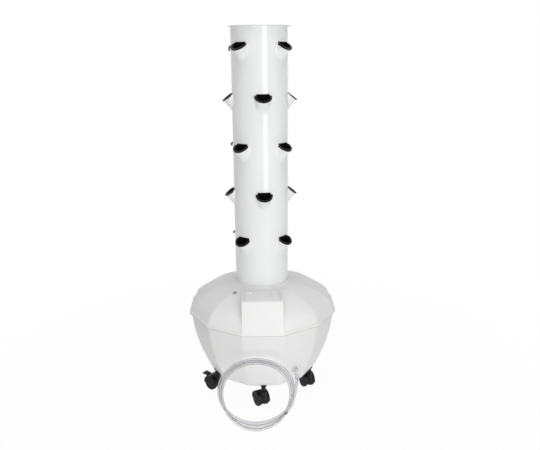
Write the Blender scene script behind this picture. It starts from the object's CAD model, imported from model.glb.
# Hydroponic tower: the finished look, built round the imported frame.
# Lengths are in millimetres in the dictionaries and turn into metres when a piece is finished.
import math

import bmesh
import bpy
from mathutils import Matrix, Vector


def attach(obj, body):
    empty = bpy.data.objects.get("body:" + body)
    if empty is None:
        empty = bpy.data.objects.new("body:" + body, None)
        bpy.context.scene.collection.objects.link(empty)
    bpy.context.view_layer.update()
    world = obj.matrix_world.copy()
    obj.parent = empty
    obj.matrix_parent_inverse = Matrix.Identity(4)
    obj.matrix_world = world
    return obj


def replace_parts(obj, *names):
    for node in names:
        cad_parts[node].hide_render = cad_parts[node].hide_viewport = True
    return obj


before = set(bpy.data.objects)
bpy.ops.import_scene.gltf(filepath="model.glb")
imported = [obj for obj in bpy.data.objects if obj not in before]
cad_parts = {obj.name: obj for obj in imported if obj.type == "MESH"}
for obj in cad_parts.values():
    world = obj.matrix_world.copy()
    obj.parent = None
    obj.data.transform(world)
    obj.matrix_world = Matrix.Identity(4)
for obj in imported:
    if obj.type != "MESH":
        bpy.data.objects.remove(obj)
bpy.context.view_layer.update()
print("frame loaded:", len(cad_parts), "nodes")

scene = bpy.context.scene
mm = 0.001
rad = math.radians


# camera
cameraLook = {
    "place": (0, -2167.7, 1260.3),
    "down": 15.556,    # tilt under the horizon
    "turn": 0.851,     # towards +X
    "roll": -0.498,
    "lens": 39.744,    # on a sensor 36 wide
}


def makeCamera(c):
    down, turn, roll = rad(c["down"]), rad(c["turn"]), rad(c["roll"])
    look = Vector((math.sin(turn) * math.cos(down), math.cos(turn) * math.cos(down), -math.sin(down)))
    right = Vector((math.cos(turn), -math.sin(turn), 0))
    up = right.cross(look)
    across = right * math.cos(roll) + up * math.sin(roll)
    upwards = up * math.cos(roll) - right * math.sin(roll)
    data = bpy.data.cameras.new("photoCamera")
    data.sensor_width, data.lens = 36, c["lens"]
    data.clip_start, data.clip_end = 0.05, 50
    camera = bpy.data.objects.new("photoCamera", data)
    scene.collection.objects.link(camera)
    place = Matrix((across, upwards, -look)).transposed().to_4x4()
    camera.matrix_world = Matrix.Translation(Vector(c["place"]) * mm) @ place
    scene.camera = camera


makeCamera(cameraLook)
print("camera placed")


# shader maths
class Wire:
    # One output of a material's node tree. Sums and products of wires add Math nodes.
    def __init__(self, tree, socket=None):
        self.tree, self.socket = tree, socket

    def node(self, kind, settings=None, inputs=None, output=0):
        made = self.tree.nodes.new(kind)
        for key, value in (settings or {}).items():
            setattr(made, key, value)
        for key, value in (inputs or {}).items():
            if isinstance(value, Wire):
                self.tree.links.new(value.socket, made.inputs[key])
            else:
                made.inputs[key].default_value = value
        return Wire(self.tree, made.outputs[output] if len(made.outputs) else None)

    def maths(self, operation, a, b):
        return self.node("ShaderNodeMath", {"operation": operation}, {0: a, 1: b})

    def __add__(self, other):
        return self.maths("ADD", self, other)

    def __sub__(self, other):
        return self.maths("SUBTRACT", self, other)

    def __rsub__(self, other):
        return self.maths("SUBTRACT", other, self)

    def __mul__(self, other):
        return self.maths("MULTIPLY", self, other)

    __radd__ = __add__
    __rmul__ = __mul__

    def limit(self, low, high):
        # 0 under low, 1 over high
        return self.node("ShaderNodeMapRange", {"clamp": True},
                         {"Value": self, "From Min": low, "From Max": high, "To Min": 0, "To Max": 1})

    def mix(self, first, second):
        # first where this wire is 0, second where it is 1
        four = [v if isinstance(v, Wire) else (*v, 1) for v in (first, second)]
        return self.node("ShaderNodeMix", {"data_type": "RGBA"}, {0: self, 6: four[0], 7: four[1]}, 2)

    def stretched(self, scale):
        return self.node("ShaderNodeMapping", {}, {"Vector": self, "Scale": scale})

    def noise(self, scale, detail=2, rough=0.5):
        return self.node("ShaderNodeTexNoise", {},
                         {"Vector": self, "Scale": scale, "Detail": detail, "Roughness": rough})

    def bump(self, strength, distance):
        # this wire is the height, distance is in metres
        return self.node("ShaderNodeBump", {}, {"Height": self, "Strength": strength, "Distance": distance})


def newMaterial(name, fixed, varying):
    # fixed: values on the shader's own sockets. varying: a function of the object's coordinates.
    material = bpy.data.materials.new(name)
    material.use_nodes = True
    tree = material.node_tree
    shader = tree.nodes["Principled BSDF"]
    for key, value in fixed.items():
        shader.inputs[key].default_value = (*value, 1) if isinstance(value, tuple) else value
    start = Wire(tree)
    place = start.node("ShaderNodeTexCoord", {}, {}, "Object")
    for key, wire in varying(place).items():
        tree.links.new(wire.socket, shader.inputs[key])
    return material


finish = {
    "columnColour": (0.83, 0.835, 0.84),
    "columnWaves": (6, 6, 0.6),       # faint streaks drawn along the pipe
    "tankColour": (0.80, 0.803, 0.797),
    "tankShade": (0.755, 0.76, 0.75),
    "tankGrain": 900,
    "seamShade": (0.30, 0.30, 0.29),
    "seamDark": 0.9,                  # half the height of the dark line under the cover's rim
    "seamFade": 1.9,
    "cupColour": (0.009, 0.0086, 0.008),
    "cupDust": (0.010, 0.010, 0.010),
    "casterColour": (0.007, 0.0065, 0.007),
    "casterDust": (0.012, 0.012, 0.012),
    "tyreColour": (0.009, 0.0085, 0.009),
    "tyreDust": (0.02, 0.019, 0.019),
    "zincColour": (0.60, 0.61, 0.62),
    "hoseColour": (0.79, 0.787, 0.802),
    "fittingColour": (0.70, 0.70, 0.72),
    "pumpColour": (0.03, 0.034, 0.042),
    "pumpDust": (0.05, 0.054, 0.06),
    "rubberColour": (0.50, 0.50, 0.49),
    "rubberDust": (0.42, 0.42, 0.41),
}


def columnFinish(place):
    streak = place.stretched(finish["columnWaves"]).noise(4, 3)
    cloud = place.noise(3.5, 2)
    tone = streak * 0.5 + cloud * 0.5
    shade = tuple(c * 0.965 for c in finish["columnColour"])
    return {
        "Base Color": tone.limit(0.35, 0.65).mix(shade, finish["columnColour"]),
        "Roughness": streak.limit(0.3, 0.7) * 0.07 + 0.17,
        "Normal": streak.bump(0.10, 0.0006),
    }


rimSeam = min(corner[2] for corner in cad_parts["tank_cover"].bound_box)


def tankFinish(place):
    cloud = place.noise(5, 3)
    grain = place.noise(finish["tankGrain"], 2)
    flow = place.stretched((1, 1, 2.5)).noise(14, 4)
    height = place.node("ShaderNodeSeparateXYZ", {}, {0: place}, 2)
    away = place.maths("ABSOLUTE", height - rimSeam, 0)
    clean = away.limit(finish["seamDark"] * mm, finish["seamFade"] * mm)
    white = (cloud * 0.7 + flow * 0.3).limit(0.3, 0.7).mix(finish["tankShade"], finish["tankColour"])
    return {
        "Base Color": clean.mix(finish["seamShade"], white),
        "Roughness": flow.limit(0.3, 0.7) * 0.10 + 0.36,
        "Normal": (grain * 0.12 + flow * 0.88).bump(0.12, 0.0008),
    }


def blackFinish(colour, dust, grainScale, gloss):
    def build(place):
        grain = place.noise(grainScale, 2)
        scuff = place.stretched((1, 1, 3)).noise(60, 5, 0.65)
        return {
            "Base Color": scuff.limit(0.52, 0.74).mix(colour, dust),
            "Roughness": scuff.limit(0.35, 0.7) * 0.14 + gloss,
            "Normal": grain.bump(0.18, 0.0002),
        }
    return build


def metalFinish(colour, gloss):
    def build(place):
        brushed = place.stretched((1, 1, 14)).noise(120, 3)
        return {
            "Base Color": brushed.limit(0.3, 0.7).mix(tuple(c * 0.86 for c in colour), colour),
            "Roughness": brushed.limit(0.3, 0.7) * 0.14 + gloss,
            "Normal": brushed.bump(0.08, 0.0001),
        }
    return build


def hoseFinish(place):
    cloud = place.noise(22, 2)
    return {
        "Roughness": cloud.limit(0.35, 0.65) * 0.05 + 0.10,
        "Normal": cloud.bump(0.02, 0.0006),
    }


materials = {
    "column": newMaterial("glossyColumn", {"Coat Weight": 0.25, "Coat Roughness": 0.06}, columnFinish),
    "tank": newMaterial("satinTank", {}, tankFinish),
    "cup": newMaterial("blackCup", {"Specular IOR Level": 0.14},
                       blackFinish(finish["cupColour"], finish["cupDust"], 1100, 0.30)),
    "caster": newMaterial("blackCaster", {"Specular IOR Level": 0.22},
                          blackFinish(finish["casterColour"], finish["casterDust"], 1400, 0.27)),
    "tyre": newMaterial("wheelTyre", {"Specular IOR Level": 0.22},
                        blackFinish(finish["tyreColour"], finish["tyreDust"], 700, 0.42)),
    "zinc": newMaterial("zincSteel", {"Metallic": 1.0}, metalFinish(finish["zincColour"], 0.22)),
    "hose": newMaterial("clearHose", {"Base Color": finish["hoseColour"], "Transmission Weight": 1.0,
                                      "IOR": 1.42}, hoseFinish),
    "fitting": newMaterial("greyFitting", {}, metalFinish(finish["fittingColour"], 0.3)),
    "pump": newMaterial("darkPump", {}, blackFinish(finish["pumpColour"], finish["pumpDust"], 900, 0.34)),
    "rubber": newMaterial("softRubber", {},
                          blackFinish(finish["rubberColour"], finish["rubberDust"], 500, 0.55)),
}
print("materials made:", len(materials))


# modelling helpers
def newPiece(name, shape, body, material, sharp=32):
    # A bmesh in millimetres becomes a piece of the object: sharp edges over that angle, smooth elsewhere
    bmesh.ops.scale(shape, vec=(mm, mm, mm), verts=shape.verts)
    for face in shape.faces:
        face.smooth = True
    for edge in shape.edges:
        edge.smooth = edge.calc_face_angle(math.pi) < rad(sharp)
    mesh = bpy.data.meshes.new(name)
    shape.to_mesh(mesh)
    shape.free()
    mesh.materials.append(materials[material])
    piece = bpy.data.objects.new(name, mesh)
    scene.collection.objects.link(piece)
    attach(piece, body)
    return piece


def everything(shape):
    return shape.verts[:] + shape.edges[:] + shape.faces[:]


def openEdges(shape):
    return [e for e in shape.edges if e.is_boundary]


def uprightAt(x, y, z):
    # What stands along Z lies along X from there
    return Matrix.Translation((x, y, z)) @ Matrix.Rotation(rad(90), 4, "Y")


def outwards(shape, near=0.01):
    bmesh.ops.remove_doubles(shape, verts=shape.verts, dist=near)
    bmesh.ops.dissolve_degenerate(shape, edges=shape.edges, dist=near / 10)
    bmesh.ops.recalc_face_normals(shape, faces=shape.faces)
    return shape


def addTo(shape, part, place=None):
    # Moves a part into place and adds it to a shape
    if place is not None:
        bmesh.ops.transform(part, matrix=place, verts=part.verts)
        if place.determinant() < 0:
            bmesh.ops.reverse_faces(part, faces=part.faces)
    mesh = bpy.data.meshes.new("part")
    part.to_mesh(mesh)
    part.free()
    shape.from_mesh(mesh)
    bpy.data.meshes.remove(mesh)
    return shape


def wrapped(columns, rows, place):
    # A grid whose point (u, v), both from 0 to 1, goes to place(u, v)
    shape = bmesh.new()
    bmesh.ops.create_grid(shape, x_segments=columns, y_segments=rows, size=0.5)
    for vert in shape.verts:
        vert.co = place(vert.co.x + 0.5, vert.co.y + 0.5)
    return outwards(shape)


def turned(profile, steps=64, closed=False):
    # Spins [radius, height] points round Z. A closed profile is a ring, an open one meets the axis.
    shape = bmesh.new()
    verts = [shape.verts.new((r, 0, z)) for r, z in profile]
    edges = [shape.edges.new(pair) for pair in zip(verts, verts[1:])]
    if closed:
        edges.append(shape.edges.new((verts[-1], verts[0])))
    bmesh.ops.spin(shape, geom=verts + edges, cent=(0, 0, 0), axis=(0, 0, 1), angle=2 * math.pi,
                   steps=steps, use_merge=True)
    return outwards(shape)


def rounded(size, radius, segments=2, centre=(0, 0, 0)):
    # A block with all its edges rounded
    shape = bmesh.new()
    bmesh.ops.create_cube(shape, size=1)
    bmesh.ops.scale(shape, vec=size, verts=shape.verts)
    if radius:
        bmesh.ops.bevel(shape, geom=shape.edges, offset=radius, segments=segments, profile=0.5,
                        affect="EDGES", material=-1)
    bmesh.ops.translate(shape, vec=centre, verts=shape.verts)
    return shape


def rod(radius, length, edge=0.0, steps=32):
    # A cylinder along Z, from 0 upwards, with rounded ends
    if edge:
        k = edge * 0.3
        return turned([(0, 0), (radius - edge, 0), (radius - k, k), (radius, edge), (radius, length - edge),
                       (radius - k, length - k), (radius - edge, length), (0, length)], steps)
    return turned([(0, 0), (radius, 0), (radius, length), (0, length)], steps)


def combined(shape, other, operation):
    # Union or difference of two closed shapes
    made = []
    for part in (shape, other):
        mesh = bpy.data.meshes.new("operand")
        part.to_mesh(mesh)
        part.free()
        made.append(bpy.data.objects.new("operand", mesh))
        scene.collection.objects.link(made[-1])
    cutter = made[0].modifiers.new("combine", "BOOLEAN")
    cutter.solver, cutter.operation, cutter.object = "EXACT", operation, made[1]
    view = bpy.context.evaluated_depsgraph_get()
    result = bmesh.new()
    result.from_mesh(made[0].evaluated_get(view).to_mesh())
    for part in made:
        mesh = part.data
        bpy.data.objects.remove(part)
        bpy.data.meshes.remove(mesh)
    bmesh.ops.remove_doubles(result, verts=result.verts, dist=0.005)
    bmesh.ops.dissolve_degenerate(result, edges=result.edges, dist=0.002)
    return result


def turnedTo(angle, out=0.0, side=0.0, height=0.0):
    # Place on a facet: X runs along it and Z leaves it, at this angle from the front towards the right
    return (Matrix.Rotation(rad(angle), 4, "Z") @ Matrix.Translation((side, -out, height))
            @ Matrix.Rotation(rad(90), 4, "X"))


def bent(a, b, share):
    return a + (b - a) * share


# hose
hose = {
    "diameter": 11,
    "wall": 1.5,
    "lead": [(122, -216.5, 153), (122, -216.5, 139), (122, -220, 124), (120, -229, 109),
             (116, -242, 96), (112, -253.5, 87), (106, -269.5, 75.5), (98, -284, 64)],
    "loops": 2.95,
    "pointsPerLoop": 60,
    "startAngle": -40,
    "centre": -24,
    "halfWidth": 140,
    "top": 240,
    "footAt": -300,
    "topAt": -261,
    "footStep": 20,
    "topStep": 12.6,
    "pinch": [(0, 0.02), (1.5, 0.05), (3, 0.10)],
    "sides": 20,
}


def coilPoint(f):
    h = hose
    angle = rad(h["startAngle"] - 360 * f)
    foot = h["diameter"] / 2
    high = (h["top"] - foot) / 2
    rise = high * (1 + math.sin(angle))
    (f0, p0), (f1, p1) = h["pinch"][:2] if f < h["pinch"][1][0] else h["pinch"][1:]
    pinch = bent(p0, p1, (f - f0) / (f1 - f0))
    wide = h["halfWidth"] * (1 + pinch * (math.sin(angle) - 1) - 0.02 * f)
    footY, topY = h["footAt"] - h["footStep"] * f, h["topAt"] - h["topStep"] * f
    return Vector((h["centre"] + wide * math.cos(angle), bent(footY, topY, rise / (2 * high)), foot + rise))


def hoseRoute():
    h = hose
    count = round(h["loops"] * h["pointsPerLoop"])
    coil = [coilPoint(i / h["pointsPerLoop"]) for i in range(count + 1)]
    begin = coil[0] + (coil[0] - coil[1]).normalized() * h["diameter"]
    end = coil[-1] + (coil[-1] - coil[-2]).normalized() * h["diameter"]
    stops = [Vector(p) for p in h["lead"]] + [begin]
    lead = []
    for i in range(len(stops) - 1):    # a smooth curve through the lead's points
        a, b = stops[i], stops[i + 1]
        before = stops[i - 1] if i else a + Vector((0, 0, 14))
        after = stops[i + 2] if i + 2 < len(stops) else coil[3]
        for k in range(4):
            t = k / 4
            lead.append(0.5 * (2 * a + (b - before) * t + (2 * before - 5 * a + 4 * b - after) * t ** 2
                               + (3 * a - before - 3 * b + after) * t ** 3))
    return [p * mm for p in lead + [begin] + coil + [end]]


def makeHose(h):
    route = hoseRoute()
    curve = bpy.data.curves.new("hoseRoute", "CURVE")
    curve.dimensions, curve.bevel_depth, curve.use_fill_caps = "3D", h["diameter"] / 2 * mm, False
    curve.bevel_resolution = h["sides"] // 4 - 2
    spline = curve.splines.new("POLY")
    spline.points.add(len(route) - 1)
    for point, place in zip(spline.points, route):
        point.co = (*place, 1)
    line = bpy.data.objects.new("hoseRoute", curve)
    scene.collection.objects.link(line)
    mesh = bpy.data.meshes.new_from_object(line.evaluated_get(bpy.context.evaluated_depsgraph_get()))
    bpy.data.objects.remove(line)
    mesh.materials.clear()
    mesh.materials.append(materials["hose"])
    mesh.polygons.foreach_set("use_smooth", [True] * len(mesh.polygons))
    piece = bpy.data.objects.new("drainHose", mesh)
    scene.collection.objects.link(piece)
    wall = piece.modifiers.new("wall", "SOLIDIFY")
    wall.thickness, wall.offset = h["wall"] * mm, -1
    piece.visible_shadow = False    # clear, so it hardly shades what lies behind it
    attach(piece, "tank")
    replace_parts(piece, "hose_lead", "hose_coil")
    length = sum((b - a).length for a, b in zip(route, route[1:]))
    tuple(route[0])
    [tuple(p) for p in route]
    print("hose made:", round(length, 3), "m")


makeHose(hose)


# tank
tank = {
    "sides": 12,
    "width": 553,           # over two flat sides of the rim
    "lift": 90,
    "bowlHeight": 242,
    "footRadius": 203,
    "bowlInset": 10,
    "bulge": 1.7,
    "bowlWall": 4,
    "skirt": 11,
    "domeHeight": 103,
    "domeInset": 8,
    "domeEdge": 1.1,
    "domeFull": 2.15,
    "coverWall": 3.5,
    "neck": 102.3,
    "columns": 144,         # points round the tank, closest together at its ridges
    "ridge": 170,           # sharpness of the ridges
}
halfSide = rad(180 / tank["sides"])
rimRadius = tank["width"] / 2 / math.cos(halfSide)
seam = tank["lift"] + tank["bowlHeight"]
skirtTop = seam + tank["skirt"]
bowlTopRadius = rimRadius - tank["bowlInset"]
domeFoot = rimRadius - tank["domeInset"]
domeTop = skirtTop + tank["domeHeight"]


def gorePoint(u, radius, height, sharpness=None, roundness=0.0):
    # A point of a twelve-sided ring with softened corners; radius is over the corners
    step = 360 / tank["sides"]
    turn = u * 360
    facet = round(turn / step) * step
    off = turn - facet
    angle = rad(facet + off + 0.6 * step / 2 / math.pi * math.sin(math.pi * off / (step / 2)))
    p = sharpness or tank["ridge"]
    total = sum(max(0.0, math.cos(angle - rad(k * step))) ** p for k in range(tank["sides"]))
    gored = math.cos(halfSide) / total ** (1 / p)
    r = radius * bent(gored, 1.0, roundness)
    return Vector((r * math.sin(angle), -r * math.cos(angle), height))


def goredShell(rows):
    # rows: (radius over the corners, height, sharpness of the ridges, roundness)
    n = len(rows) - 1
    return wrapped(tank["columns"], n, lambda u, v: gorePoint(u, *rows[round(v * n)]))


def bowlRadius(f):
    return bent(tank["footRadius"], bowlTopRadius, 1 - (1 - f) ** tank["bulge"])


def facetOut(z):
    return bowlRadius((z - tank["lift"]) / tank["bowlHeight"]) * math.cos(halfSide)


def domePoint(u, wall=0.0):
    rise = (tank["domeHeight"] - wall) * (1 - u ** tank["domeEdge"]) ** (1 / tank["domeFull"])
    return bent(tank["neck"], domeFoot - wall, u), skirtTop + rise


outlet = {"turn": 30, "side": -2.5, "height": 163, "bore": 7.05, "pad": 13, "proud": 5.5}
casterPlan = {
    "count": 5,
    "at": 190,
    "swivel": [27, 22, 35, 30, 50],
    "braked": [4, 2],
    "bossRadius": 15,
    "bossHeight": 30,
    "bossBore": 7.55,
}


def casterFrame(i):
    # On the floor under the stem, with the wheels behind at +Y
    turn = i * 360 / casterPlan["count"]
    return (Matrix.Rotation(rad(turn), 4, "Z") @ Matrix.Translation((0, -casterPlan["at"], 0))
            @ Matrix.Rotation(rad(casterPlan["swivel"][i] - turn), 4, "Z"))


def makeBowl(t):
    wall, foot, lift = t["bowlWall"], t["footRadius"], t["lift"]
    flangeTop = skirtTop - t["coverWall"] - 0.3
    flange = rimRadius - (t["coverWall"] + 0.6) / math.cos(halfSide)
    sideRows = [0.045 + 0.955 * i / 22 for i in range(23)]
    outside = [(0, lift), (70, lift), (140, lift), (foot - 9, lift), (foot - 5.6, lift + 0.7),
               (foot - 2.2, lift + 2.4), (foot + 0.8, lift + 5), (foot + 3.2, lift + 7.9)]
    outside += [(bowlRadius(f), lift + f * t["bowlHeight"]) for f in sideRows]
    outside += [(bowlTopRadius, flangeTop - 4), (flange - 0.8, flangeTop - 4), (flange, flangeTop - 3.2),
                (flange, flangeTop - 0.8), (flange - 0.8, flangeTop)]
    inside = [(bowlTopRadius - wall, flangeTop), (bowlTopRadius - wall, seam)]
    inside += [(bowlRadius(f) - wall, lift + f * t["bowlHeight"]) for f in sideRows[-2::-1]
               if f * t["bowlHeight"] > 14]
    inside += [(foot - wall + 0.5, lift + wall + 6), (foot - wall - 3.5, lift + wall + 1.6),
               (foot - wall - 9, lift + wall), (140, lift + wall), (70, lift + wall), (0, lift + wall)]
    shape = goredShell([(r, z, t["ridge"], 0) for r, z in outside + inside])
    bosses = bmesh.new()
    for i in range(casterPlan["count"]):    # bosses inside, round the caster sockets
        c = casterPlan
        bore, r, high = c["bossBore"], c["bossRadius"], c["bossHeight"]
        boss = turned([(bore, wall - 1), (r + 2.5, wall - 1), (r + 2.5, wall), (r + 0.7, wall + 0.8),
                       (r, wall + 3), (r, high - 1), (r - 1, high), (bore, high)], 40, closed=True)
        addTo(bosses, boss, casterFrame(i) @ Matrix.Translation((0, 0, lift)))
    within = [(r - 1, z, t["ridge"], 0) for r, z in outside[1:26]]
    within = [(0, lift, t["ridge"], 0)] + within + [(0, within[-1][1], t["ridge"], 0)]
    addTo(shape, combined(bosses, goredShell(within), "INTERSECT"))
    o = outlet
    depth = wall + 2 * o["proud"]
    pad = turned([(o["bore"], 0), (o["pad"], 0), (o["pad"], depth - 1.4), (o["pad"] - 0.4, depth - 0.4),
                  (o["pad"] - 1.4, depth), (o["bore"], depth)], 48, closed=True)
    addTo(shape, pad, turnedTo(o["turn"], facetOut(o["height"]) - wall - o["proud"], o["side"], o["height"]))
    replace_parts(newPiece("tankBowl", shape, "tank", "tank", 38), "tank_bowl")
    print("bowl made")


makeBowl(tank)

filler = {
    "width": 148,
    "front": 236,
    "spread": 4,
    "edge": 4,           # rounding of the box
    "flare": [(70, -234, 386), (96, -178, 407), (75, -150, 440), (60, -190, 380)],    # beside it, on the dome
    "flapWidth": 128,
    "flapLength": 74,
    "flapThick": 3,
    "flapGap": 0.8,
    "ledge": 6,
    "knuckle": 3.5,
    "knuckleWidth": 22,
    "pin": 3,
    "lug": 5,
    "play": 0.3,         # between a knuckle and its lugs
}
boxTop = domeTop - 1
flapFree = -(filler["front"] - 4)
hingeY = flapFree + filler["flapLength"]
hingeZ = boxTop + filler["knuckle"] - filler["flapThick"] - 0.5
knuckleAt = filler["flapWidth"] / 2 - filler["knuckleWidth"] / 2 - 8
collar = {"bore": 100.3, "wall": 4, "lip": 5, "sweep": 15, "depth": 44, "seat": 11, "thick": 4}
seatZ = domeTop + collar["lip"] - collar["depth"]
seatGap = 0.3            # under the column, and between cap and pipe
domeRows = 26
fadeShare = 0.16         # of the dome, where its ridges fade out
roundRidge = 30          # the ridges' width where the dome meets the column
grommet = {"turn": -30, "at": 154, "side": -27, "bore": 6.05, "pad": 11.5, "span": 8}


def fadeAt(u):
    return min(1.0, max(0.0, (fadeShare - u) / fadeShare))


def hulled(points):
    shape = bmesh.new()
    for point in points:
        shape.verts.new(point)
    bmesh.ops.convex_hull(shape, input=shape.verts)
    bmesh.ops.dissolve_limit(shape, angle_limit=rad(1), verts=shape.verts, edges=shape.edges)
    bmesh.ops.recalc_face_normals(shape, faces=shape.faces)
    return shape


def fillerBox(wall, edge):
    # The box's eight corners, hulled and rounded
    f = filler
    w, top = f["width"] / 2 - wall, boxTop - wall
    foot = skirtTop - (12 if wall else tank["coverWall"])
    frontFoot, backFoot = tank["width"] / 2 - wall, 106 if wall else 101
    shape = hulled([(s * x, y, z) for s in (-1, 1) for x, y, z in (
        (w, -f["front"] + wall, top), (w + f["spread"], -130, top),
        (w, -frontFoot, foot), (w + f["spread"], -backFoot, foot))])
    high = [e for e in shape.edges if max(v.co.z for v in e.verts) > top - 1]
    bmesh.ops.bevel(shape, geom=high, offset=edge, segments=4, profile=0.5, affect="EDGES", material=-1)
    bmesh.ops.recalc_face_normals(shape, faces=shape.faces)
    return shape


def block(low, high):
    size = [b - a for a, b in zip(low, high)]
    return rounded(size, 0, centre=[(a + b) / 2 for a, b in zip(low, high)])


def coverGrommet():
    # On the dome's facet left of the filler, square to its slope
    at, span = grommet["at"], grommet["span"]
    height = {}
    for out in (at - span, at, at + span):
        u = (out / math.cos(halfSide) - tank["neck"]) / (domeFoot - tank["neck"])
        height[out] = domePoint(u)[1]
    slope = math.atan((height[at - span] - height[at + span]) / (2 * span))
    place = turnedTo(grommet["turn"], at, grommet["side"], height[at])
    return place @ Matrix.Rotation(rad(-90) + slope, 4, "X")


def makeCover(t):
    w = t["coverWall"]
    inner = rimRadius - w / math.cos(halfSide)
    rim = [(inner, seam), (rimRadius - 0.9, seam), (rimRadius - 0.2, seam + 0.4), (rimRadius, seam + 1.2),
           (rimRadius, skirtTop - 2.2), (rimRadius - 0.6, skirtTop - 0.7), (rimRadius - 2.2, skirtTop),
           (domeFoot + 2.6, skirtTop + 0.1), (domeFoot + 1.3, skirtTop + 0.7),
           (domeFoot + 0.4, skirtTop + 1.9)]
    rows = [(r, z, t["ridge"], 0) for r, z in rim]
    bore, outer = collar["bore"], collar["bore"] + collar["wall"]
    lipTop = domeTop + collar["lip"]

    def sweep(r):
        return collar["lip"] * max(0.0, 1 - (r - bore - 0.9) / collar["sweep"]) ** 2

    steps = [1 - (1 - i / domeRows) ** 1.6 for i in range(domeRows + 1)]
    for s in steps[1:]:    # the dome: its ridges fade out close to the column
        u = 1 - s
        fade = fadeAt(u)
        r, z = domePoint(u)
        r = bent(r, outer + 2.2, fade)
        rows.append((r, z + sweep(r), bent(t["ridge"], roundRidge, fade), fade))
    lip = (outer + 1, outer - 0.4, outer - 1.6, outer - 2.6)
    rows += [(r, domeTop + sweep(r), roundRidge, 1) for r in lip]
    under, within = seatZ - collar["thick"], bore - collar["seat"]
    rows += [(r, z, roundRidge, 1) for r, z in (
        (bore + 0.4, lipTop), (bore, lipTop - 0.4), (bore, seatZ), (within, seatZ),
        (within, under), (outer, under), (outer, domeTop - 9))]
    for s in steps[::-1]:
        u = max(1 - s, 0.0)
        fade = fadeAt(u)
        r, z = domePoint(u, w)
        rows.append((bent(r, outer + 0.5, fade), z - 3 * fade, bent(t["ridge"], roundRidge, fade), fade))
    rows += [(inner, skirtTop - w, t["ridge"], 0), (inner, seam, t["ridge"], 0)]
    shape = goredShell(rows)
    f = filler
    shape = combined(shape, fillerBox(0, f["edge"]), "UNION")
    for side in (-1, 1):
        shape = combined(shape, hulled([(side * x, y, z) for x, y, z in f["flare"]]), "UNION")
    shape = combined(shape, fillerBox(w, 2), "DIFFERENCE")
    half, k = f["flapWidth"] / 2, f["knuckle"]
    seat = block((-half - 4, flapFree - 2, boxTop - 6.5), (half + 4, hingeY + 7.5, boxTop - 1))
    shape = combined(shape, seat, "UNION")
    recess = block((-half - f["flapGap"], flapFree - f["flapGap"], boxTop - f["flapThick"]),
                   (half + f["flapGap"], hingeY - k, boxTop + 5))
    shape = combined(shape, recess, "DIFFERENCE")
    opening = (2 * half - 2 * f["ledge"], f["flapLength"] - 2 * f["ledge"] - k, 40)
    middle = (0, (flapFree + hingeY - k) / 2, boxTop - 10)
    shape = combined(shape, rounded(opening, 5, 3, middle), "DIFFERENCE")
    reach = f["knuckleWidth"] / 2 + f["play"]
    for x in (-knuckleAt, knuckleAt):
        gap = block((x - reach, hingeY - k - 1, hingeZ - k - f["play"]),
                    (x + reach, hingeY + k + f["play"], hingeZ + 8))
        shape = combined(shape, gap, "DIFFERENCE")
        for side in (-1, 1):    # lugs beside each knuckle
            at = x + side * (reach + f["lug"] / 2)
            addTo(shape, rod(k, f["lug"], 0.4, 24), uprightAt(at - f["lug"] / 2, hingeY, hingeZ))
    pad, bore, r = coverGrommet(), grommet["bore"], grommet["pad"]
    hole = rod(bore, 40, 0, 32)
    bmesh.ops.transform(hole, matrix=pad @ Matrix.Translation((0, 0, -20)), verts=hole.verts)
    shape = combined(shape, hole, "DIFFERENCE")
    raised = [(bore, -6), (r, -6), (r, 0.9), (r - 0.3, 1.3), (r - 0.9, 1.5), (bore, 1.5)]
    addTo(shape, turned(raised, 40, closed=True), pad)
    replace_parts(newPiece("tankCover", shape, "cover", "tank", 34), "tank_cover")
    print("cover made")


makeCover(tank)


def makeFlap(f):
    thick, half, k, wide = f["flapThick"], f["flapWidth"] / 2, f["knuckle"], f["knuckleWidth"]
    near, level = hingeY - k - 0.8, boxTop - f["flapThick"] / 2
    shape = rounded((2 * half, near - flapFree, thick), 0.8, 3, (0, (near + flapFree) / 2, level))
    addTo(shape, rounded((36, 5, 3), 1.2, 3, (0, flapFree + 3, boxTop + 0.4)))
    for x in (-knuckleAt, knuckleAt):
        bore = f["pin"] / 2 + 0.05
        knuckle = turned([(bore, 0), (k - 0.4, 0), (k, 0.4), (k, wide - 0.4), (k - 0.4, wide), (bore, wide)],
                         24, closed=True)
        addTo(shape, knuckle, uprightAt(x - wide / 2, hingeY, hingeZ))
        addTo(shape, rounded((wide, 5.4, thick - 0.2), 0.5, 2, (x, hingeY - k - 0.4, level)))
    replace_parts(newPiece("fillerFlap", shape, "flap", "tank", 40), "filler_flap")
    print("flap made")


makeFlap(filler)


# column
column = {
    "radius": 100,
    "wall": 3.5,
    "height": 960,
    "turn": 6,
    "topDrop": 60,
    "pitch": 171,
    "tiers": 5,
    "perTier": 4,
    "tilt": 36,
    "reach": 108,
    "mouth": 27.5,
    "mouthWall": 2.4,
    "mouthDepth": 72,
    "flat": 10.1,        # the mouth's flat side, towards the column
    "draft": 4.5,
    "ledgeUnder": 25.7,  # the spray plate's ledge, under the pipe's top
    "ledge": 4,
    "fillet": 7,         # width of the soft corner where a mouth leaves the pipe
    "brim": 109.5,
    "brimThick": 3,
    "crown": 3.5,
    "plugDepth": 14,
    "plugWall": 3,
}
columnFoot = seatZ + seatGap
columnTop = columnFoot + column["height"]


def mouthFrame(i):
    # Mouth i: origin at its middle, Z up along the cup, Y towards the column
    c = column
    tier = i // c["perTier"]
    turn = c["turn"] + (i % c["perTier"]) * 360 / c["perTier"] - (45 if tier % 2 == 0 else 0)
    height = columnTop - c["topDrop"] - tier * c["pitch"]
    return (Matrix.Rotation(rad(turn), 4, "Z") @ Matrix.Translation((0, -c["reach"], height))
            @ Matrix.Rotation(rad(c["tilt"]), 4, "X"))


cupTotal = column["tiers"] * column["perTier"]


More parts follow.
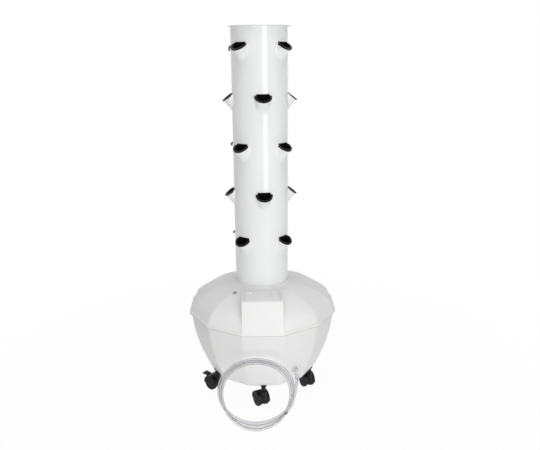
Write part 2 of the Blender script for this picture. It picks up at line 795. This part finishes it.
def makeColumn(c):
    # The pipe and its mouths, then its bore with the ledge, and the hollows of the mouths
    slope, depth, hollowRadius = math.tan(rad(c["draft"])), c["mouthDepth"], c["mouth"] - c["mouthWall"]
    cones, hollows = bmesh.new(), bmesh.new()
    for i in range(cupTotal):
        cone = turned([(0, -depth), (c["mouth"] - depth * slope, -depth), (c["mouth"], 0), (0, 0)], 96)
        addTo(cones, cone, mouthFrame(i))
        hollow = turned([(0, -depth), (hollowRadius - depth * slope, -depth),
                         (hollowRadius + 12 * slope, 12), (0, 12)], 96)
        bmesh.ops.bisect_plane(hollow, geom=everything(hollow), plane_co=(0, c["flat"], 0),
                               plane_no=(0, 1, 0), clear_outer=True)
        bmesh.ops.holes_fill(hollow, edges=openEdges(hollow), sides=0)
        addTo(hollows, outwards(hollow), mouthFrame(i))
    r, bore, low, high = c["radius"], c["radius"] - c["wall"], columnFoot, columnTop
    ledge = high - c["ledgeUnder"]
    shape = combined(turned([(0, low), (r, low), (r, high), (0, high)], 240), cones, "UNION")
    inside = turned([(0, low - 1), (bore, low - 1), (bore, ledge - 3), (bore - c["ledge"], ledge - 3),
                     (bore - c["ledge"], ledge), (bore, ledge), (bore, high + 1), (0, high + 1)], 240)
    shape = combined(combined(shape, inside, "DIFFERENCE"), hollows, "DIFFERENCE")
    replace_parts(newPiece("columnPipe", shape, "column", "column", 20), "column_tube")
    print("column made")


makeColumn(column)


def makeFillets(c):
    # A soft corner round the foot of each mouth, from the pipe's face to the mouth's
    slope = math.tan(rad(c["draft"]))
    tilted = Matrix.Translation((0, -c["reach"], 0)) @ Matrix.Rotation(rad(c["tilt"]), 4, "X")
    slices, around = 6, 72
    shape = bmesh.new()

    def onMouth(angle, depth):
        r = c["mouth"] - depth * slope
        return tilted @ Vector((r * math.cos(angle), r * math.sin(angle), -depth))

    def meeting(angle):
        # depth at which the mouth's side goes into the pipe
        low, high = 0.0, 90.0
        for _ in range(30):
            middle = (low + high) / 2
            p = onMouth(angle, middle)
            low, high = (middle, high) if p.xy.length > c["radius"] else (low, middle)
        return low

    depths = [meeting(2 * math.pi * k / around) for k in range(around)]
    feet = [onMouth(2 * math.pi * k / around, depths[k]) for k in range(around)]
    middle = sum(feet, Vector()) / around
    rings = []
    for s in range(slices + 1):
        t = s / slices
        ring = []
        for k in range(around):
            angle, foot = 2 * math.pi * k / around, feet[k]
            width = min(c["fillet"], max(depths[k] - 1.5, 0.2))
            onSide = onMouth(angle, depths[k] - width)
            away = foot - middle
            away = away - foot.xy.to_3d() * away.xy.dot(foot.xy) / foot.xy.length_squared
            onPipe = foot + away.normalized() * width
            onPipe.xy = onPipe.xy * (c["radius"] + 0.05) / onPipe.xy.length
            ring.append(onPipe * (1 - t) ** 2 + foot * 2 * t * (1 - t) + onSide * t * t)
        rings.append(ring)
    band = wrapped(around, slices, lambda u, v: rings[round(v * slices)][round(u * around) % around])
    for i in range(cupTotal):
        turn = mouthFrame(i).to_translation()
        angle = math.atan2(turn.x, -turn.y)
        addTo(shape, band.copy(), Matrix.Translation((0, 0, turn.z)) @ Matrix.Rotation(angle, 4, "Z"))
    band.free()
    for face in shape.faces:    # outwards from the pipe's axis
        middle = face.calc_center_median()
        if face.normal.dot(Vector((middle.x, middle.y, 0))) < 0:
            face.normal_flip()
    newPiece("mouthFillets", shape, "column", "column", 60)
    print("mouth fillets made")


makeFillets(column)


def makeCap(c):
    z = columnTop + seatGap
    foot, edge = z - c["plugDepth"], z + c["brimThick"]
    r, plug = c["brim"], c["radius"] - c["wall"] - seatGap
    hollow = plug - c["plugWall"]
    crownRadius = ((r - 2) ** 2 + c["crown"] ** 2) / (2 * c["crown"])
    crownAt = edge + c["crown"] - crownRadius
    stops = [(r - 2) * (1 - k / 12) for k in range(13)]
    arc = [(x, crownAt + math.sqrt(crownRadius ** 2 - x ** 2)) for x in stops]
    profile = [(0, z), (hollow, z), (hollow, foot + 0.8), (hollow + 0.8, foot), (plug - 1.4, foot),
               (plug, foot + 1.6), (plug, z), (r - 0.8, z), (r - 0.2, z + 0.25), (r, z + 0.8),
               (r, edge - 0.9), (r - 0.25, edge - 0.3), (r - 0.9, edge)] + arc
    shape = turned(profile, 128)
    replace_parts(newPiece("columnCap", shape, "cap", "column", 40), "column_cap")
    print("cap made")


makeCap(column)


# cups
cup = {
    "rim": 30.5,
    "rimThick": 2.2,
    "skirt": 2.4,
    "skirtInside": 28.3,
    "rimEnds": 4,        # the rim stops beside the flat back
    "radius": 24.5,
    "wall": 1.6,
    "depth": 56,
    "draft": 7,
    "back": 9.4,
    "lip": 3.6,
    "lipWidth": 45,
    "columns": 100,
    "rows": 22,
    "rest": 0.3,         # of the rim, over its mouth
    "slotTurn": 36,      # between the side slots
    "slotHalf": 3.7,
    "slotTop": 16,
    "floorTurn": 60,     # between the floor slots
    "floorHalf": 8,
    "floorSlots": (5, 12.4),
}


def inSlot(turn, step, half):
    return any(abs(turn - k * step) < half for k in (-2, -1, 0, 1, 2))


def cupShape(c):
    draft = math.tan(rad(c["draft"]))
    rest, (near, far) = c["rest"], c["floorSlots"]
    top = rest + c["rimThick"]
    # slotted basket
    heights = [top, 0.8] + [-c["depth"] * i / (c["rows"] - 2) for i in range(c["rows"] - 1)]
    radii = [c["radius"] + min(z, 0) * draft for z in heights]
    floorAt = -c["depth"]
    heights += [floorAt, floorAt, floorAt]
    radii += [radii[-1] * 0.72, radii[-1] * 0.3, 0]
    n = len(heights) - 1

    def place(u, v):
        row = round(v * n)
        angle = 2 * math.pi * u - math.pi / 2
        y = radii[row] * math.sin(angle)
        return Vector((radii[row] * math.cos(angle), min(y, c["back"]), heights[row]))

    shape = wrapped(c["columns"], n, place)
    gone = []
    for face in shape.faces:
        middle = face.calc_center_median()
        turn = math.degrees(math.atan2(middle.x, -middle.y))
        sideSlot = floorAt + 6 < middle.z < -c["slotTop"] and inSlot(turn, c["slotTurn"], c["slotHalf"])
        floorSlot = (middle.z < floorAt + 0.01 and near < middle.xy.length < far
                     and inSlot(turn, c["floorTurn"], c["floorHalf"]))
        if sideSlot or floorSlot:
            gone.append(face)
    bmesh.ops.delete(shape, geom=gone, context="FACES")
    bmesh.ops.solidify(shape, geom=shape.faces, thickness=c["wall"])
    # rim over the mouth's edge, open at the flat back
    inner, out, low = c["radius"] - c["wall"], c["rim"], rest - c["skirt"]
    rim = turned([(inner, rest), (c["skirtInside"], rest), (c["skirtInside"], low), (out - 0.4, low),
                  (out, low + 0.4), (out, top - 0.8), (out - 0.25, top - 0.25), (out - 0.8, top),
                  (inner + 0.6, top), (inner, top - 0.6)], 96, closed=True)
    bmesh.ops.bisect_plane(rim, geom=everything(rim), plane_co=(0, c["rimEnds"], 0), plane_no=(0, 1, 0),
                           clear_outer=True)
    bmesh.ops.holes_fill(rim, edges=openEdges(rim), sides=0)
    addTo(shape, outwards(rim))
    # raised lip of the flat back
    high = 4.6 + c["lip"]
    addTo(shape, rounded((c["lipWidth"], 3, high), 0.8, 2, (0, c["back"] - 0.1, rest + c["lip"] - high / 2)))
    for side in (-1, 1):    # short cheeks between the rim's ends and the lip
        addTo(shape, rounded((2.4, 6, 4.2), 0.7, 2, (side * 22.4, 6.2, 1.0)))
    return shape


def makeCups(c):
    first = cupShape(c)
    for i in range(cupTotal):
        name = f"cup_{i + 1:02d}"
        shape = bmesh.new()
        addTo(shape, first.copy(), mouthFrame(i))
        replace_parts(newPiece("plantCup" + name[-3:], shape, name, "cup", 36), name)
    first.free()
    print("cups made:", cupTotal)


makeCups(cup)


# casters
caster = {
    "wheel": 27.5,
    "wheelWidth": 15,
    "gap": 1,
    "web": 14,
    "trail": 22,
    "hoodInside": 28.7,
    "hoodWall": 2.5,
    "hoodDrop": 5,
    "webDrop": 12,
    "neck": 10.5,
    "neckTop": 70,
    "stemBore": 4.05,
    "pedalAngle": 40,
    "pedalPivot": 4,
    "pedalLength": 22,
    "lug": 3.5,
    "spokes": 5,
}


def axleFrame():
    # X runs along the floor away from the stem, Y up, Z along the axle
    place = Matrix.Translation((0, caster["trail"], caster["wheel"]))
    return place @ Matrix.Rotation(rad(90), 4, "Z") @ Matrix.Rotation(rad(90), 4, "X")


def pedalFrame():
    c = caster
    out, angle = c["hoodInside"] + c["hoodWall"] + c["pedalPivot"] + 0.3, rad(c["pedalAngle"])
    return axleFrame() @ Matrix.Translation((out * math.cos(angle), out * math.sin(angle), 0))


def halfDisc(radius, drop, width, edge):
    # The part of a round plate over a level line
    shape = bmesh.new()
    bmesh.ops.create_cone(shape, cap_ends=True, segments=64, radius1=radius, radius2=radius, depth=width)
    bmesh.ops.bisect_plane(shape, geom=everything(shape), plane_co=(0, -drop, 0), plane_no=(0, -1, 0),
                           clear_outer=True)
    bmesh.ops.holes_fill(shape, edges=openEdges(shape), sides=0)
    corners = [e for e in shape.edges if e.calc_face_angle(0) > rad(30)]
    bmesh.ops.bevel(shape, geom=corners, offset=edge, segments=3, profile=0.5, affect="EDGES", material=-1)
    bmesh.ops.recalc_face_normals(shape, faces=shape.faces)
    return shape


def hoodShape(c, braked):
    width = c["web"] + 2 * (c["gap"] + c["wheelWidth"])
    inside, out = c["hoodInside"], c["hoodInside"] + c["hoodWall"]
    start = math.asin(-c["hoodDrop"] / out)
    half, e = width / 2, 0.9
    shape = bmesh.new()    # the band over the wheels
    corners = [(inside, -half), (out - e, -half), (out - e * 0.3, -half + e * 0.3), (out, -half + e),
               (out, half - e), (out - e * 0.3, half - e * 0.3), (out - e, half), (inside, half)]
    verts = [shape.verts.new((r * math.cos(start), r * math.sin(start), z)) for r, z in corners]
    face = shape.faces.new(verts)
    bmesh.ops.spin(shape, geom=[face, *face.edges, *face.verts], cent=(0, 0, 0), axis=(0, 0, 1),
                   angle=math.pi - 2 * start, steps=40)
    bmesh.ops.remove_doubles(shape, verts=shape.verts, dist=0.001)
    bmesh.ops.recalc_face_normals(shape, faces=shape.faces)
    addTo(shape, halfDisc(inside + 1, c["webDrop"], c["web"], 1.0))
    for side in (-1, 1):    # low ribs along the band's edges
        rib = bmesh.new()
        at = side * (half - 2.6)
        ribCorners = [(out - 0.3, at - 1.1), (out + 0.25, at - 0.9),
                      (out + 0.25, at + 0.9), (out - 0.3, at + 1.1)]
        ribVerts = [rib.verts.new((r * math.cos(start), r * math.sin(start), z)) for r, z in ribCorners]
        ribFace = rib.faces.new(ribVerts)
        bmesh.ops.spin(rib, geom=[ribFace, *ribFace.edges, *ribFace.verts], cent=(0, 0, 0), axis=(0, 0, 1),
                       angle=math.pi - 2 * start, steps=40)
        addTo(shape, outwards(rib))
    whole = bmesh.new()
    addTo(whole, shape, axleFrame())
    bore, r, top, foot = c["stemBore"], c["neck"], c["neckTop"], c["wheel"] + 2
    neck = turned([(bore, top), (r - 1.2, top), (r - 0.35, top - 0.35), (r, top - 1.2), (r, foot + 31),
                   (r + 0.9, foot + 28), (r, foot + 24), (r, foot), (bore, foot)], 48, closed=True)
    addTo(whole, neck)
    if braked:
        for side in (-1, 1):
            at = side * (c["web"] / 2 + 0.3 + c["lug"] / 2)
            lug = rod(c["pedalPivot"], c["lug"], 0.5, 28)
            addTo(whole, lug, pedalFrame() @ Matrix.Translation((0, 0, at - c["lug"] / 2)))
            foot = rounded((c["pedalPivot"] + 1.8, 2 * c["pedalPivot"], c["lug"]), 0.5, 2,
                           (-(c["pedalPivot"] + 1.8) / 2, 0, at))
            addTo(whole, foot, pedalFrame() @ Matrix.Rotation(rad(c["pedalAngle"]), 4, "Z"))
    return whole


def wheelShape(c):
    r, w = c["wheel"], c["wheelWidth"]
    tyre = [(0, 0), (r - 7, 0), (r - 2, 0), (r - 0.6, 0.8), (r, 2.4), (r, 4.6), (r - 0.5, 4.9),
            (r - 0.5, 5.5), (r, 5.8), (r, w - 6.4), (r - 0.5, w - 6.1), (r - 0.5, w - 5.5),
            (r, w - 5.2), (r, w - 3.8), (r - 0.5, w - 2.2),
            (r - 1.8, w - 1), (r - 3.6, w - 0.4), (r - 5, w - 0.4), (r - 5.6, w - 1.2), (r - 7.2, w - 1.2),
            (r - 7.8, w - 0.5), (8.6, w - 0.2), (8, w - 1), (6.4, w - 1), (6, w - 0.3), (5.2, w), (0, w)]
    shape = turned(tyre, 60)
    hub = [f for f in shape.faces if f.normal.z > 0.9 and 9 < f.calc_center_median().xy.length < r - 8]
    step = 360 / c["spokes"]
    turns = [math.degrees(math.atan2(*f.calc_center_median().yx)) % step for f in hub]
    pockets = [f for f, turn in zip(hub, turns) if abs(turn - step / 2) < step / 2 - 8]
    bmesh.ops.inset_region(shape, faces=pockets, thickness=0.8, depth=0, use_even_offset=True)
    bmesh.ops.translate(shape, vec=(0, 0, -1.6), verts=list({v for f in pockets for v in f.verts}))
    return shape


def pedalShape(c):
    web = c["web"]
    shape = rod(c["pedalPivot"], web, 0.5, 32)
    bmesh.ops.translate(shape, vec=(0, 0, -web / 2), verts=shape.verts)
    pin = rod(2, web + 0.6 + 2 * c["lug"], 0.3, 24)
    addTo(shape, pin, Matrix.Translation((0, 0, -(web + 0.6 + 2 * c["lug"]) / 2)))
    addTo(shape, rounded((7, 4.8, web), 0.6, 2, (3.2, 1, 0)))
    long = c["pedalLength"] - 3
    addTo(shape, rounded((long, 4.6, 24), 1.4, 3, (c["pedalPivot"] + long / 2, 1, 0)))
    for k in range(4):    # ribs for the foot
        addTo(shape, rounded((1.4, 1, 19), 0.3, 1, (c["pedalPivot"] + 6 + k * 3.4, 3.3, 0)))
    return shape


def makeCasters(c):
    plan = casterPlan
    wheel = wheelShape(c)
    for i in range(plan["count"]):
        name, at, braked = f"caster_{i + 1}", casterFrame(i), i in plan["braked"]
        shape = bmesh.new()
        addTo(shape, hoodShape(c, braked), at)
        hood = newPiece(f"casterHood_{i + 1}", shape, name, "caster", 34)
        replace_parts(hood, name + "_hood")
        for side, label in ((-1, "l"), (1, "r")):
            shape = bmesh.new()
            out = side * (c["web"] / 2 + c["gap"])
            aside = Matrix.Translation((0, 0, out)) @ Matrix.Diagonal((1, 1, side, 1))
            addTo(shape, wheel.copy(), at @ axleFrame() @ aside)
            body = f"{name}_wheel_{label}"
            rolling = newPiece(f"casterWheel_{i + 1}_{label}", shape, body, "tyre", 34)
            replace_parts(rolling, body)
        if braked:
            shape = bmesh.new()
            addTo(shape, pedalShape(c), at @ pedalFrame())
            pedal = newPiece(f"brakePedal_{i + 1}", shape, name + "_brake", "caster", 34)
            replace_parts(pedal, name + "_brake_pedal")
    wheel.free()
    print("casters made:", plan["count"])


makeCasters(caster)


# finishes of the frame's own nodes
nodeFinish = {
    "spray_plate": "column",
    "riser_pipe": "column",
    "outlet_elbow": "fitting",
    "outlet_nut": "fitting",
    "caster_sockets": "caster",
    "caster_stems": "zinc",
    "filler_hinge_pin": "zinc",
    "cable_grommet": "rubber",
    "pump_body": "pump",
    "pump_strainer": "pump",
}
for i in range(casterPlan["count"]):
    nodeFinish[f"caster_{i + 1}_axle"] = "zinc"
for name, material in nodeFinish.items():
    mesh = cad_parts[name].data
    mesh.materials.clear()
    mesh.materials.append(materials[material])
print("frame nodes finished:", len(nodeFinish))


# floor and light
studio = {
    "floorRadius": 6.0,
    "floorColour": (0.85, 0.85, 0.85),
    "sky": 0.34,
    "keyTurn": 21,          # from the front towards the right
    "keyDistance": 3.0,
    "keyHeight": 0.95,
    "keySize": (0.8, 1.7),
    "keyPower": 20,
    "fillTurn": 1,
    "fillDistance": 3.4,
    "fillHeight": 0.55,
    "fillSize": (2.2, 0.9),
    "fillPower": 33,
    "topTurn": 0,
    "topDistance": 0.2,
    "topHeight": 3.2,
    "topSize": (2.0, 2.0),
    "topPower": 36,
    "whiteNear": 0.96,      # how white the floor is close to the tower
    "fadeFrom": 0.5,
    "fadeTo": 1.5,
}


def seenRay(start):
    names = ("Is Camera Ray", "Is Glossy Ray", "Is Transmission Ray")
    rays = [start.node("ShaderNodeLightPath", {}, {}, name) for name in names]
    return (rays[0] + rays[1] + rays[2]).limit(0, 1)


def makeStudio(s):
    shape = bmesh.new()
    bmesh.ops.create_circle(shape, cap_ends=True, segments=96, radius=s["floorRadius"])
    mesh = bpy.data.meshes.new("floor")
    shape.to_mesh(mesh)
    shape.free()
    floor = bpy.data.objects.new("floor", mesh)
    scene.collection.objects.link(floor)
    material = bpy.data.materials.new("paleFloor")
    material.use_nodes = True
    tree = material.node_tree
    pale = tree.nodes["Principled BSDF"]
    pale.inputs["Base Color"].default_value = (*s["floorColour"], 1)
    pale.inputs["Roughness"].default_value = 0.7
    pale.inputs["Specular IOR Level"].default_value = 0.1
    start = Wire(tree)
    white = start.node("ShaderNodeEmission", {}, {"Color": (1, 1, 1, 1), "Strength": 1.0})
    place = start.node("ShaderNodeTexCoord", {}, {}, "Object")
    away = start.node("ShaderNodeVectorMath", {"operation": "LENGTH"}, {0: place}, 1)
    share = away.limit(s["fadeFrom"], s["fadeTo"]) * (1 - s["whiteNear"]) + s["whiteNear"]
    plain = Wire(tree, pale.outputs[0])
    both = start.node("ShaderNodeMixShader", {}, {0: seenRay(start) * share, 1: plain, 2: white})
    tree.links.new(both.socket, tree.nodes["Material Output"].inputs["Surface"])
    mesh.materials.append(material)

    world = bpy.data.worlds.new("studioWorld")
    scene.world = world
    world.use_nodes = True
    tree = world.node_tree
    start = Wire(tree)
    seen = seenRay(start)
    tree.links.new((seen * (1 - s["sky"]) + s["sky"]).socket, tree.nodes["Background"].inputs["Strength"])
    tree.nodes["Background"].inputs["Color"].default_value = (1, 1, 1, 1)

    for name in ("key", "fill", "top"):
        lamp = bpy.data.lights.new(name + "Light", "AREA")
        lamp.shape, lamp.size, lamp.size_y, lamp.energy = "RECTANGLE", *s[name + "Size"], s[name + "Power"]
        light = bpy.data.objects.new(name + "Light", lamp)
        scene.collection.objects.link(light)
        turn, away = rad(s[name + "Turn"]), s[name + "Distance"]
        place = Vector((math.sin(turn) * away, -math.cos(turn) * away, s[name + "Height"]))
        aim = (place - Vector((0, 0, 0.7))).to_track_quat("Z", "Y").to_matrix().to_4x4()
        light.matrix_world = Matrix.Translation(place) @ aim
        light.visible_glossy = name == "key"    # only the key light shows as a streak on the pipe
    scene.view_settings.view_transform = "Standard"
    print("floor and light made")


makeStudio(studio)

bpy.context.view_layer.update()
